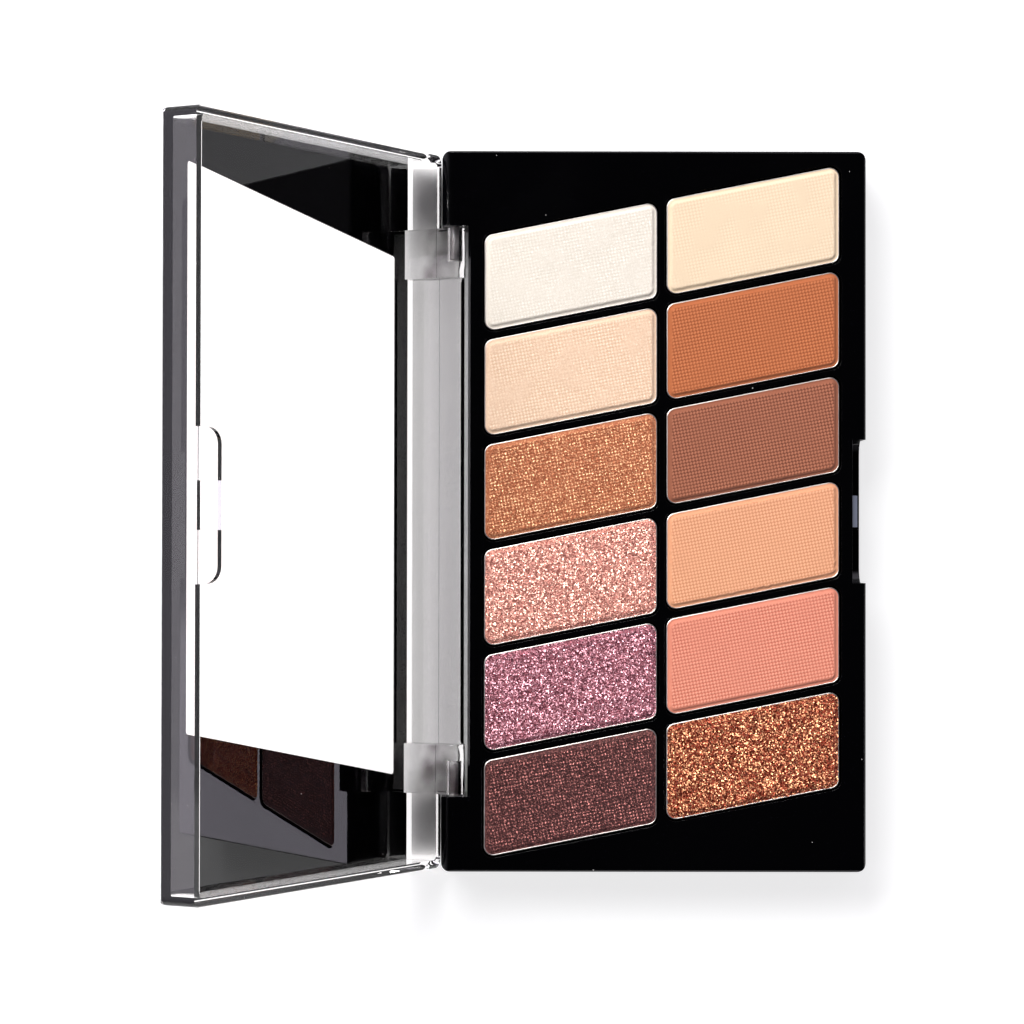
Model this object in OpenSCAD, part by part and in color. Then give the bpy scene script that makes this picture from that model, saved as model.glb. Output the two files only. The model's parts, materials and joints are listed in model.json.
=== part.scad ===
// Eyeshadow palette: a two-piece moulded base with two columns of slanted pans,
// and a clear lid on two steel pins. Millimetres, +Z up.
// The origin is the centre of the base's underside. The hinge is on -X, the latch on +X.

/* [Case] */
// Size of the case across the hinge
case_w = 76.5; // [66:0.5:96]
// Size of the case along the hinge
case_l = 130; // [108:1:160]
// Height of the base
base_h = 12; // [11.8:0.1:15]
// Radius of the case's corners, seen from above
corner_r = 1.6; // [0.6:0.1:2.5]
// Bevel along the base's top and bottom edges
base_bevel = 0.3; // [0.1:0.05:0.6]
// Thickness of the base's outer wall
base_wall = 1.6; // [1.2:0.1:2.2]
// Width of the ledge that the bottom cover bears on
ledge_w = 1.0; // [0.6:0.1:1.6]

/* [Bottom cover] */
// Thickness of the bottom cover
cover_t = 1.5; // [1:0.1:2]
// Depth of the bottom cover inside the base's rim
cover_inset = 0.3; // [0.1:0.05:0.6]
// Gap between the cover and the base's wall, each side
cover_gap = 0.1; // [0.05:0.05:0.3]
// Radius of the cover's pegs
peg_r = 1.25; // [0.9:0.05:1.6]
// Height of the cover's pegs
peg_h = 3.2; // [2:0.1:3.6]
// Wall of the boss around each peg
boss_wall = 1.3; // [0.8:0.1:1.8]
// Gap around a peg in its boss
peg_gap = 0.05; // [0.02:0.01:0.1]
// Distance from the case's sides and ends to the outer bosses
boss_edge = 12; // [10:0.5:15]
// Length of the blank label
label_l = 62; // [40:1:80]
// Width of the blank label
label_w = 24; // [16:1:36]
// Thickness of the blank label
label_t = 0.12; // [0.08:0.01:0.2]
// Depth of the recess that the label lies in
label_recess = 0.25; // [0.2:0.01:0.4]
// Gap around the label in its recess
label_gap = 0.5; // [0.2:0.1:1]

/* [Pans] */
// Number of pans in each column
pan_rows = 6; // [4:1:8]
// Slant of the pans' ends, in degrees
pan_slant = 11.3; // [0:0.1:15]
// Deck between the hinge side and the pans
hinge_margin = 7.68; // [7.4:0.02:9]
// Deck between the pans and the latch side
latch_margin = 4.74; // [4.4:0.02:8]
// Deck at each end, measured to the outermost pan corner
end_margin = 2.5; // [2.4:0.1:6]
// Gap between the two columns of pans
column_gap = 1.68; // [1.4:0.02:3]
// Gap between neighbouring pans of a column
row_gap = 1.56; // [1.3:0.02:3]
// Radius of a pan's corners
pan_corner_r = 1.7; // [0.8:0.1:3]
// Thickness of the pans' sheet metal
pan_t = 0.3; // [0.2:0.05:0.5]
// Height of a pan
pan_h = 3; // [2.4:0.1:3.2]
// Depth of a pan's rim under the deck
pan_drop = 0.4; // [0.2:0.1:1]
// Gap between a pan and its well
pan_gap = 0.4; // [0.2:0.05:0.5]
// Thickness of the glue under the pans
glue_t = 0.2; // [0.1:0.05:0.3]
// Radius of a dot of glue
glue_r = 2; // [1.5:0.1:2.5]
// Distance between the dots of glue under a pan
glue_pitch = 9; // [6:0.5:10]
// Thickness of the floor under the wells
well_floor = 1.2; // [1:0.1:1.4]

/* [Powder] */
// Depth of the powder's edge under its pan's rim
powder_drop = 0.1; // [0.05:0.05:0.8]
// Height of the powder's raised middle over its edge
powder_crown = 0.3; // [0.1:0.05:0.5]
// Width of the bevel around the raised middle
powder_bevel = 0.9; // [0.4:0.1:2]

/* [Lid] */
// Depth of the lid from its rim to its outer face
lid_h = 7.05; // [6:0.05:7.1]
// Thickness of the lid's walls
lid_wall = 1.5; // [1:0.1:2]
// Thickness of the lid's panel
panel_t = 1.8; // [1.2:0.1:2.2]
// Gap between the closed lid's rim and the base
lid_gap = 0.15; // [0.1:0.05:0.3]
// Radius of the lid's outer edge over the hinge
lid_back_r = 2; // [1.6:0.1:2.4]
// Bevel along the lid's other outer edges
lid_bevel = 0.5; // [0.2:0.05:0.8]
// Angle of the open lid from closed, at its stop
open_angle = 120; // [95:1:121]

/* [Printed film] */
// Thickness of the film on the lid's outer face
film_t = 0.2; // [0.1:0.05:0.3]
// Distance from the lid's edges to the film
film_edge = 0.7; // [0.6:0.1:2]
// Distance from the case's hinge and latch sides to the clear window
window_side = 6.5; // [4:0.1:12]
// Distance from the upper end to the window's highest corner
window_top = 8.2; // [4:0.1:14]
// Distance from the lower end to the window's lowest corner
window_bottom = 17.1; // [8:0.1:24]
// Slant of the window's ends, in degrees
window_slant = 9.4; // [0:0.1:15]
// Radius of the window's corners
window_corner_r = 0.6; // [0.3:0.1:2]

/* [Hinge] */
// Distance from the base's side to the hinge axis
hinge_inset = 2.2; // [2.1:0.05:2.3]
// Depth of the hinge axis under the deck
hinge_drop = 4; // [3.9:0.05:4.2]
// Length of the ear at each end of the hinge
ear_l = 13.5; // [10:0.5:18]
// Depth of the hinge notch from the base's side
notch_depth = 4.7; // [4.6:0.05:5]
// Bevel along the notch's inner top edge
notch_bevel = 0.45; // [0.2:0.05:0.6]
// Radius of the lid's knuckles
knuckle_r = 2; // [1.7:0.05:2.1]
// Length of a knuckle
knuckle_l = 9; // [7:0.5:12]
// Gap between a knuckle and its ear
knuckle_gap = 0.2; // [0.1:0.05:0.4]
// Reach of the lid's back wall under the hinge axis
flap_drop = 0.9; // [0.5:0.05:0.95]
// Step of the lid's back, under its rim, inside the wall's outer face
flap_step = 0.15; // [0.05:0.05:0.3]
// Radius of a hinge pin
pin_r = 0.85; // [0.6:0.05:1]
// Length of a hinge pin
pin_l = 19; // [15:0.5:21]
// Depth of a pin's outer end inside the ear's face
pin_recess = 0.4; // [0.2:0.1:1]
// Running gap around a pin in its knuckle
pin_gap = 0.05; // [0.02:0.01:0.09]
// Gap past a pin's inner end
pin_end_gap = 0.3; // [0.1:0.1:0.6]
// Chamfer on a pin's ends
pin_chamfer = 0.15; // [0.05:0.05:0.3]

/* [Latch] */
// Length of the latch tongue along the case
tongue_l = 25.5; // [18:0.5:36]
// Reach of the tongue below the lid's rim
tongue_h = 4.4; // [3.5:0.1:4.8]
// Thickness of the tongue
tongue_t = 1.1; // [0.8:0.1:1.2]
// Radius of the tongue's lower corners
tongue_corner_r = 2.9; // [1:0.1:3.4]
// Gap around the tongue in its recess
tongue_gap = 0.2; // [0.1:0.05:0.4]
// Length of the slot in the tongue
slot_l = 8; // [5:0.5:12]
// Height of the slot in the tongue
slot_h = 2; // [1.4:0.1:2.4]
// Depth of the slot's top edge under the lid's rim
slot_drop = 0.3; // [0.2:0.1:0.8]
// Depth of the tongue's recess in the base
recess_depth = 2.4; // [2.3:0.05:2.6]
// Reach of the catch out of the recess's wall
catch_proud = 1; // [0.6:0.05:1]
// Length of the catch
catch_l = 5.7; // [3:0.1:7]
// Height of the catch
catch_h = 1.2; // [0.8:0.1:1.6]
// Depth of the catch's top edge under the deck
catch_drop = 0.5; // [0.3:0.1:0.8]
// Depth of the fingernail notch under the tongue
nail_notch = 0.72; // [0.4:0.02:1]

/* [Hidden] */
$fn = 48;
// Number of edges that a quarter-turn corner is drawn with
CORNER_EDGES = 8;
// Overlap that joins or cuts solids cleanly
EPS = 0.01;
// Reach of a cutting solid past what it cuts
PAST = 5;

deck_z = base_h;
hinge_x = -case_w / 2 + hinge_inset;
hinge_z = deck_z - hinge_drop;
ear_y = case_l / 2 - ear_l;
notch_x = -case_w / 2 + notch_depth;
recess_x = case_w / 2 - recess_depth;

rim_z = deck_z + lid_gap;
lid_top_z = rim_z + lid_h;
panel_z = lid_top_z - panel_t;
knuckle_y = ear_y - knuckle_gap;
tongue_z = rim_z - tongue_h;

pan_tan = tan(pan_slant);
array_w = case_w - hinge_margin - latch_margin;
array_x = (hinge_margin - latch_margin) / 2;
pan_w = (array_w - column_gap) / 2;
pan_l = (case_l - 2 * end_margin - array_w * pan_tan - (pan_rows - 1) * row_gap) / pan_rows;
pan_pitch = pan_l + row_gap;
pan_rim_z = deck_z - pan_drop;
pan_floor_z = pan_rim_z - pan_h;
well_z = pan_floor_z - glue_t;
hollow_top_z = well_z - well_floor;
powder_edge_z = pan_rim_z - powder_drop;

// The bottom cover fills the base's underside inside its walls, and stops short of the hinge notch
cover_z = cover_inset + cover_t;
cover_left = notch_x + base_wall;
cover_right = case_w / 2 - base_wall;
cover_x = (cover_left + cover_right) / 2;
cover_w = cover_right - cover_left;
cover_l = case_l - 2 * base_wall;
boss_r = peg_r + peg_gap + boss_wall;
boss_x = case_w / 2 - boss_edge;
boss_y = case_l / 2 - boss_edge;
// Peg bores stop this far under the well floors
boss_roof = 0.5;

window_w = case_w - 2 * window_side;
window_tan = tan(window_slant);
window_l = case_l - window_top - window_bottom - window_w * window_tan;
window_y = (window_bottom - window_top) / 2;

function column_name(c) = c < 0 ? "left" : "right";
function column_x(c) = array_x + c * (pan_w + column_gap) / 2;
function pan_name(kind, c, row) = str(kind, "_", column_name(c), "_", row);
// Centre of a pan: c is -1 for the hinge side and 1 for the latch side, row 1 is the upper end
function pan_centre(c, row) = [
    column_x(c),
    (column_x(c) - array_x) * pan_tan + ((pan_rows + 1) / 2 - row) * pan_pitch
];

COLUMNS = [-1, 1];
ROWS = [1 : pan_rows];

// ---- outlines ----

function unit(v) = v / norm(v);

// Points of the arc that rounds corner i of a convex, counter-clockwise outline
function corner_arc(points, i, r) =
    let (
        n = len(points),
        corner = points[i],
        to_prev = unit(points[(i + n - 1) % n] - corner),
        to_next = unit(points[(i + 1) % n] - corner),
        half = acos(to_prev * to_next) / 2,
        centre = corner + unit(to_prev + to_next) * r / sin(half),
        first = corner + to_prev * r / tan(half) - centre,
        sweep = 180 - 2 * half,
        steps = max(2, round(CORNER_EDGES * sweep / 90))
    )
    [for (k = [0 : steps]) let (a = sweep * k / steps)
        centre + [first.x * cos(a) - first.y * sin(a), first.x * sin(a) + first.y * cos(a)]];

function rounded(points, r) =
    r <= 0 ? points : [for (i = [0 : len(points) - 1]) each corner_arc(points, i, r)];

function rectangle(w, l) =
    [[w / 2, -l / 2], [w / 2, l / 2], [-w / 2, l / 2], [-w / 2, -l / 2]];

// A slanted block's outline: sides along Y, ends rising towards +X, grown by gap all round
function slanted(w, l, slope, gap = 0) =
    let (x = w / 2 + gap, y = l / 2 + gap * sqrt(1 + slope * slope))
    [[x, x * slope - y], [x, x * slope + y], [-x, y - x * slope], [-x, -y - x * slope]];

module plan(w, l, r) {
    polygon(rounded(rectangle(w, l), r));
}

module pan_outline(gap = 0) {
    polygon(rounded(slanted(pan_w, pan_l, pan_tan, gap), max(0.2, pan_corner_r + gap)));
}

module at_pan(c, row) {
    p = pan_centre(c, row);
    translate([p.x, p.y, 0]) children();
}

// Runs a profile drawn in X and Z along Y, centred on the origin
module along_y(length) {
    rotate([90, 0, 0]) linear_extrude(height = length, center = true) children();
}

// Runs a profile drawn in Y and Z along X, centred on the origin
module along_x(length) {
    rotate([90, 0, 90]) linear_extrude(height = length, center = true) children();
}

// Where the four bosses and pegs stand, with two more halfway along the case
module at_bosses() {
    for (x = [-boss_x, boss_x], y = [-boss_y, 0, boss_y]) translate([x, y, 0]) children();
}

// Turns what is drawn for the closed lid to the open rest position
module opened() {
    translate([hinge_x, 0, hinge_z]) rotate([0, -open_angle, 0])
        translate([-hinge_x, 0, -hinge_z]) children();
}

// ---- base ----

// The base's cross-section: bevelled edges, and a round top edge on the hinge axis
module base_section() {
    x = case_w / 2;
    b = base_bevel;
    side = asin(hinge_inset / hinge_drop);
    polygon(concat(
        [[-x + b, 0], [x - b, 0], [x, b], [x, deck_z - b], [x - b, deck_z]],
        [for (k = [0 : CORNER_EDGES]) let (a = side * k / CORNER_EDGES)
            [hinge_x - hinge_drop * sin(a), hinge_z + hinge_drop * cos(a)]],
        [[-x, b]]
    ));
}

// The base's long section, with bevelled ends
module base_long_section() {
    y = case_l / 2;
    b = base_bevel;
    polygon([[-y + b, 0], [y - b, 0], [y, b], [y, deck_z - b], [y - b, deck_z],
        [-y + b, deck_z], [-y, deck_z - b], [-y, b]]);
}

module base_block() {
    intersection() {
        linear_extrude(height = deck_z) plan(case_w, case_l, corner_r);
        along_y(case_l + PAST) base_section();
        along_x(case_w + PAST) base_long_section();
    }
}

// The notch between the ears goes down through the base, so that the lid's back wall can turn in it
module hinge_notch() {
    translate([-case_w / 2 - PAST, -ear_y, -PAST])
        cube([notch_depth + PAST, 2 * ear_y, deck_z + 2 * PAST]);
    along_y(2 * ear_y) polygon([
        [notch_x - EPS, deck_z - notch_bevel - EPS], [notch_x, deck_z - notch_bevel],
        [notch_x + notch_bevel + EPS, deck_z + EPS], [notch_x - EPS, deck_z + EPS]
    ]);
}

// Outline of the latch tongue in Y and Z, grown by gap and open at the top
function tongue_outline(gap, top) =
    let (y = tongue_l / 2 + gap, z = tongue_z - gap, r = tongue_corner_r)
    concat(
        [[y, top], [-y, top]],
        corner_arc([[-y, top], [-y, z], [y, z], [y, top]], 1, r),
        corner_arc([[-y, top], [-y, z], [y, z], [y, top]], 2, r)
    );

module latch_cut() {
    x = case_w / 2;
    translate([recess_x + PAST / 2 + recess_depth / 2, 0, 0])
        along_x(recess_depth + PAST) polygon(tongue_outline(tongue_gap, deck_z + PAST));
    translate([x - nail_notch, -tongue_l / 2 - tongue_gap, -PAST])
        cube([PAST, tongue_l + 2 * tongue_gap, deck_z + 2 * PAST]);
}

// The catch that the tongue's slot comes down over, sloping at the top
module catch_block() {
    top = deck_z - catch_drop;
    along_y(catch_l) polygon([
        [recess_x - EPS, top - catch_h], [recess_x + catch_proud, top - catch_h],
        [recess_x + catch_proud, top - catch_h / 2], [recess_x, top], [recess_x - EPS, top]
    ]);
}

module base_hollow() {
    translate([cover_x, 0, -EPS]) {
        linear_extrude(height = hollow_top_z + EPS)
            plan(cover_w - 2 * ledge_w, cover_l - 2 * ledge_w, 0);
        linear_extrude(height = cover_z + EPS) plan(cover_w, cover_l, corner_r / 2);
    }
}

module base_tray() {
    color("black") difference() {
        union() {
            difference() {
                base_block();
                base_hollow();
                hinge_notch();
                latch_cut();
                for (c = COLUMNS, row = ROWS) at_pan(c, row)
                    translate([0, 0, well_z]) linear_extrude(height = PAST * 2) pan_outline(pan_gap);
            }
            catch_block();
            at_bosses() translate([0, 0, cover_z])
                cylinder(r = boss_r, h = hollow_top_z - cover_z + EPS);
        }
        at_bosses() translate([0, 0, cover_z - EPS])
            cylinder(r = peg_r + peg_gap, h = hollow_top_z - cover_z - boss_roof);
        for (side = [-1, 1]) translate([hinge_x, side * case_l / 2, hinge_z])
            rotate([90, 0, 0]) cylinder(r = pin_r, h = 2 * ear_l - EPS, center = true);
    }
}

module bottom_cover() {
    color("black") {
        difference() {
            translate([cover_x, 0, cover_inset]) linear_extrude(height = cover_t)
                plan(cover_w - 2 * cover_gap, cover_l - 2 * cover_gap, corner_r / 2);
            translate([0, 0, cover_inset - EPS]) linear_extrude(height = label_recess + EPS)
                plan(label_w + 2 * label_gap, label_l + 2 * label_gap, corner_r + label_gap);
        }
        at_bosses() translate([0, 0, cover_z - EPS]) cylinder(r = peg_r, h = peg_h + EPS);
    }
}

module underside_label() {
    color("silver") translate([0, 0, cover_inset + label_recess - label_t])
        linear_extrude(height = label_t) plan(label_w, label_l, corner_r);
}

// ---- pans and powder ----

module pan_glue() {
    color("ivory") for (c = COLUMNS, row = ROWS, k = [-1, 0, 1]) at_pan(c, row)
        translate([k * glue_pitch, k * glue_pitch * pan_tan, well_z])
            cylinder(r = glue_r, h = glue_t);
}

module pan(c, row) {
    color("lightgray") at_pan(c, row) difference() {
        translate([0, 0, pan_floor_z]) linear_extrude(height = pan_h) pan_outline();
        translate([0, 0, pan_floor_z + pan_t]) linear_extrude(height = pan_h) pan_outline(-pan_t);
    }
}

// A pressed cake: its bevel rises from the pan's wall to a flat middle
module powder(c, row) {
    h = powder_edge_z - pan_floor_z - pan_t;
    color(POWDER_COLOURS[(c + 1) / 2][(row - 1) % 6]) at_pan(c, row)
        translate([0, 0, pan_floor_z + pan_t]) {
            linear_extrude(height = h) pan_outline(-pan_t);
            hull() {
                translate([0, 0, h - EPS]) linear_extrude(height = EPS) pan_outline(-pan_t);
                translate([0, 0, h + powder_crown - EPS]) linear_extrude(height = EPS)
                    pan_outline(-pan_t - powder_bevel);
            }
        }
}

POWDER_COLOURS = [
    ["ivory", "bisque", "peru", "rosybrown", "thistle", "dimgray"],
    ["blanchedalmond", "sienna", "rosybrown", "burlywood", "lightcoral", "saddlebrown"]
];

// ---- lid, drawn closed and then opened ----

// The lid's cross-section: a round edge over the hinge and a bevel over the latch
module lid_section() {
    x = case_w / 2;
    b = lid_bevel;
    r = lid_back_r;
    polygon(concat(
        [[-x, rim_z], [x, rim_z], [x, lid_top_z - b], [x - b, lid_top_z]],
        [for (k = [0 : CORNER_EDGES]) let (a = 90 * k / CORNER_EDGES)
            [-x + r - r * sin(a), lid_top_z - r + r * cos(a)]]
    ));
}

module lid_long_section() {
    y = case_l / 2;
    b = lid_bevel;
    polygon([[-y, rim_z], [y, rim_z], [y, lid_top_z - b], [y - b, lid_top_z],
        [-y + b, lid_top_z], [-y, lid_top_z - b]]);
}

module lid_shell() {
    difference() {
        intersection() {
            translate([0, 0, rim_z]) linear_extrude(height = lid_h) plan(case_w, case_l, corner_r);
            along_y(case_l + PAST) lid_section();
            along_x(case_w + PAST) lid_long_section();
        }
        translate([0, 0, rim_z - EPS]) linear_extrude(height = lid_h - panel_t + EPS)
            plan(case_w - 2 * lid_wall, case_l - 2 * lid_wall, corner_r / 2);
        film_recess();
    }
}

// The film covers the flat outer face, from over the hinge axis to the latch side
module film_outline() {
    left = hinge_x;
    right = case_w / 2 - film_edge;
    translate([(left + right) / 2, 0]) plan(right - left, case_l - 2 * film_edge, corner_r / 2);
}

module film_recess() {
    translate([0, 0, lid_top_z - film_t]) linear_extrude(height = PAST) film_outline();
}

// The lid's back wall runs down between the ears and ends under the hinge axis
module back_flap() {
    translate([-case_w / 2, -knuckle_y, hinge_z - flap_drop])
        cube([lid_wall, 2 * knuckle_y, hinge_drop + flap_drop + lid_gap + lid_wall]);
}

// The back wall is a little thinner under the rim, so its parting line shows as a step
module flap_relief() {
    translate([-case_w / 2 - PAST, -knuckle_y - PAST, 0])
        cube([flap_step + PAST, 2 * (knuckle_y + PAST), rim_z]);
}

module knuckle(side) {
    y = knuckle_y - knuckle_l / 2;
    translate([hinge_x, side * y, hinge_z]) {
        rotate([90, 0, 0]) cylinder(r = knuckle_r, h = knuckle_l, center = true);
        translate([-hinge_inset, -knuckle_l / 2, 0])
            cube([hinge_inset + knuckle_r, knuckle_l, panel_z - hinge_z + EPS]);
    }
}

module pin_bore(side) {
    depth = pin_l + pin_recess - ear_l - knuckle_gap + pin_end_gap;
    translate([hinge_x, side * (knuckle_y - depth / 2 + EPS / 2), hinge_z])
        rotate([90, 0, 0]) cylinder(r = pin_r + pin_gap, h = depth + EPS, center = true);
}

module latch_tongue() {
    x = case_w / 2;
    slot_top = rim_z - slot_drop;
    difference() {
        translate([x - tongue_t / 2, 0, 0])
            along_x(tongue_t) polygon(tongue_outline(0, rim_z + lid_wall));
        translate([x - tongue_t - PAST / 2, -slot_l / 2, slot_top - slot_h])
            cube([tongue_t + PAST, slot_l, slot_h]);
    }
}

module clear_lid() {
    color("gainsboro", 0.4) opened() difference() {
        union() {
            lid_shell();
            back_flap();
            for (side = [-1, 1]) knuckle(side);
            latch_tongue();
        }
        flap_relief();
        for (side = [-1, 1]) pin_bore(side);
    }
}

module lid_film() {
    color("black") opened() difference() {
        translate([0, 0, lid_top_z - film_t]) linear_extrude(height = film_t) film_outline();
        translate([0, window_y, lid_top_z - film_t - PAST / 2]) linear_extrude(height = PAST)
            polygon(rounded(slanted(window_w, window_l, window_tan), window_corner_r));
    }
}

module hinge_pin(side) {
    color("silver") translate([hinge_x, side * (case_l / 2 - pin_recess - pin_l / 2), hinge_z])
        rotate([90, 0, 0]) rotate_extrude() polygon([
            [0, -pin_l / 2], [pin_r - pin_chamfer, -pin_l / 2], [pin_r, -pin_l / 2 + pin_chamfer],
            [pin_r, pin_l / 2 - pin_chamfer], [pin_r - pin_chamfer, pin_l / 2], [0, pin_l / 2]
        ]);
}

base_tray();
bottom_cover();
underside_label();
pan_glue();
for (c = COLUMNS, row = ROWS) {
    pan(c, row);
    powder(c, row);
}
clear_lid();
lid_film();
hinge_pin(1);  // hinge_pin_upper
hinge_pin(-1);  // hinge_pin_lower
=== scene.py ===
"""Eyeshadow palette: the looks of the case, lid, pans and pressed powders.

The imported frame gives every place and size. Lengths are in metres. The base lies on the floor
with the lid leaning back on its stop, +X from the hinge to the latch and +Y up the columns.
"""

import json
import logging
import math
from collections.abc import Callable, Iterable, Iterator
from dataclasses import dataclass, field
from enum import Enum
from functools import partial

import bmesh
import bpy
from mathutils import Matrix, Vector


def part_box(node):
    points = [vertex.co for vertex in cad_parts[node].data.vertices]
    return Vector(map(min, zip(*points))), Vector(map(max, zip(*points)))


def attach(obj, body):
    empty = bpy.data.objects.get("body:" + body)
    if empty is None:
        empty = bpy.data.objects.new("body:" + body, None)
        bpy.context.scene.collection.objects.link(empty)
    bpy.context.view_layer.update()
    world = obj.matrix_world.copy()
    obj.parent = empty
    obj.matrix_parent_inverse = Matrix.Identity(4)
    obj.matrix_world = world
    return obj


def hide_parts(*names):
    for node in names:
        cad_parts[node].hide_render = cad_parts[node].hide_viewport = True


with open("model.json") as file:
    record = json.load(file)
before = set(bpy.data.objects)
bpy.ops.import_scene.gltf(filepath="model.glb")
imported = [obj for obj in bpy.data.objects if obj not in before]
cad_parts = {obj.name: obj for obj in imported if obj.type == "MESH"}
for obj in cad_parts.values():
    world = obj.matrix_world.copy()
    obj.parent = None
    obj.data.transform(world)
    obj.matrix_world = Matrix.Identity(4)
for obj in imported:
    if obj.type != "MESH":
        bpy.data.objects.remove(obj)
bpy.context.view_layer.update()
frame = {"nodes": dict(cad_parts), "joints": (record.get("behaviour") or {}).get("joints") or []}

LOG = logging.getLogger("palette")
SHADER = "ShaderNodeTree"
GEOMETRY = "GeometryNodeTree"
FLOAT = "NodeSocketFloat"
WHOLE = "NodeSocketInt"
VECTOR = "NodeSocketVector"
MESH = "NodeSocketGeometry"
MATERIAL = "NodeSocketMaterial"
MM = 0.001
COLUMNS = ("left", "right")
Point = tuple[float, float]
Triple = tuple[float, float, float]
Colour = Triple
Piece = bpy.types.Object
Tree = bpy.types.NodeTree
Node = bpy.types.Node
Socket = bpy.types.NodeSocket
Sockets = bpy.types.bpy_prop_collection
Put = Callable[[str, object], None]


# ---- colours and node wiring


def linear(colour: Iterable[float]) -> tuple[float, ...]:
    """Turns a display colour into the linear colour that shaders take.

    Args:
        colour: Red, green and blue, each from 0 to 255.

    Returns:
        The linear colour with an alpha of 1.
    """
    levels = [part / 255 for part in colour]
    curved = [v / 12.92 if v <= 0.04045 else ((v + 0.055) / 1.055) ** 2.4 for v in levels]
    return (*curved, 1.0)


@dataclass
class Wiring:
    """Adds nodes to one node tree and joins their sockets."""

    tree: Tree

    def node(self, kind: str, sockets: dict | None = None, **settings: object) -> Node:
        """Adds a node.

        Args:
            kind: The node's type name.
            sockets: Input name or number to a plain value or to another node's output.
            **settings: The node's own properties.

        Returns:
            The new node.
        """
        made = self.tree.nodes.new(kind)
        for name, value in settings.items():
            setattr(made, name, value)
        for name, value in (sockets or {}).items():
            self.feed(made, name, value)
        return made

    def feed(self, node: Node, name: str | int, value: object) -> None:
        """Sets one input of a node, or joins an output to it."""
        if isinstance(name, int):
            socket = node.inputs[name]
        else:
            socket = next(s for s in node.inputs if s.enabled and s.name == name)
        if isinstance(value, Socket):
            self.tree.links.new(value, socket)
        else:
            socket.default_value = value

    def math(self, operation: str, *values: object) -> Socket:
        """Adds a Math node and returns its result."""
        return self.node("ShaderNodeMath", dict(enumerate(values)), operation=operation).outputs[0]

    def vector(self, operation: str, *values: object) -> Socket:
        """Adds a Vector Math node and returns its first result."""
        made = self.node("ShaderNodeVectorMath", dict(enumerate(values)), operation=operation)
        return next(s for s in made.outputs if s.enabled)

    def blend(self, factor: object, first: object, second: object) -> Socket:
        """Mixes two colours and returns the result."""
        made = self.node("ShaderNodeMix", data_type="RGBA")
        for index, value in ((0, factor), (6, first), (7, second)):
            self.feed(made, index, value)
        return made.outputs[2]

    def between(self, factor: object, first: object, second: object) -> Socket:
        """Mixes two numbers and returns the result."""
        made = self.node("ShaderNodeMix", data_type="FLOAT")
        for index, value in ((0, factor), (2, first), (3, second)):
            self.feed(made, index, value)
        return made.outputs[0]

    def smooth(self, value: object, low: object, high: object) -> Socket:
        """Rises smoothly from 0 to 1 as value goes from low to high."""
        made = self.node("ShaderNodeMapRange", interpolation_type="SMOOTHSTEP")
        for name, part in (("Value", value), ("From Min", low), ("From Max", high)):
            self.feed(made, name, part)
        return made.outputs[0]

    def noise(self, place: object, scale: object, detail: float, rough: float = 0.5) -> Socket:
        """Adds a Noise Texture node and returns its value."""
        return self.node("ShaderNodeTexNoise", {
            "Vector": place, "Scale": scale, "Detail": detail, "Roughness": rough}).outputs[0]

    def cells(self, place: object, spacing: object) -> Node:
        """Adds a Voronoi Texture node whose cells lie one spacing apart."""
        return self.node("ShaderNodeTexVoronoi", {
            "Vector": place, "Scale": self.math("DIVIDE", 1.0, spacing), "Randomness": 1.0})

    def bump(self, height: object, distance: float, strength: float) -> Socket:
        """Adds a Bump node and returns the bent normal."""
        return self.node("ShaderNodeBump", {
            "Height": height, "Distance": distance, "Strength": strength}).outputs[0]

    def part(self, vector: object, axis: int) -> Socket:
        """Takes one coordinate of a vector."""
        return self.node("ShaderNodeSeparateXYZ", {0: vector}).outputs[axis]

    def channels(self, colour: object) -> list[Socket]:
        """Takes a colour apart."""
        return list(self.node("ShaderNodeSeparateColor", {"Color": colour}).outputs)

    def upward(self, height: object) -> Socket:
        """Makes a vector along Z."""
        return self.node("ShaderNodeCombineXYZ", {2: height}).outputs[0]

    def scaled(self, vector: object, factor: object) -> Socket:
        """Multiplies a vector by a number."""
        made = self.node("ShaderNodeVectorMath", {0: vector}, operation="SCALE")
        self.feed(made, "Scale", factor)
        return made.outputs[0]

    def random(self, low: float, high: float, seed: int) -> Socket:
        """Adds a Random Value node and returns its number."""
        made = self.node("FunctionNodeRandomValue", {"Min": low, "Max": high, "Seed": seed},
                         data_type="FLOAT")
        return next(s for s in made.outputs if s.enabled)

    def deliver(self, out: Node, geometry: object, material: object) -> None:
        """Ends a geometry tree with real mesh that carries the finish's material."""
        real = self.node("GeometryNodeRealizeInstances", {"Geometry": geometry}).outputs[0]
        self.feed(out, "Mesh", self.node("GeometryNodeSetMaterial", {
            "Geometry": real, "Material": material}).outputs[0])

    def turned(self, vector: object, angle: object) -> Socket:
        """Turns a vector back about Z by an angle."""
        return self.node("ShaderNodeVectorRotate", {
            "Vector": vector, "Angle": self.math("MULTIPLY", angle, -1.0)},
            rotation_type="Z_AXIS").outputs[0]


def new_group(
    name: str, kind: str, inputs: dict[str, str | float], outputs: dict[str, str]
) -> tuple[Wiring, Sockets, Node]:
    """Starts a node group with named inputs and outputs.

    Args:
        name: The group's name.
        kind: ShaderNodeTree or GeometryNodeTree.
        inputs: Input name to its default number, or to its socket type if it has none.
        outputs: Output name to its socket type.

    Returns:
        The group's wiring, the sockets of its input node, and its output node.
    """
    tree = bpy.data.node_groups.new(name, kind)
    for title, given in inputs.items():
        number = WHOLE if isinstance(given, int) else FLOAT
        typed = given if isinstance(given, str) else number
        made = tree.interface.new_socket(title, in_out="INPUT", socket_type=typed)
        if typed is not given:
            made.default_value = given
    for title, socket_type in outputs.items():
        tree.interface.new_socket(title, in_out="OUTPUT", socket_type=socket_type)
    wiring = Wiring(tree)
    return wiring, wiring.node("NodeGroupInput").outputs, wiring.node("NodeGroupOutput")


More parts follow.
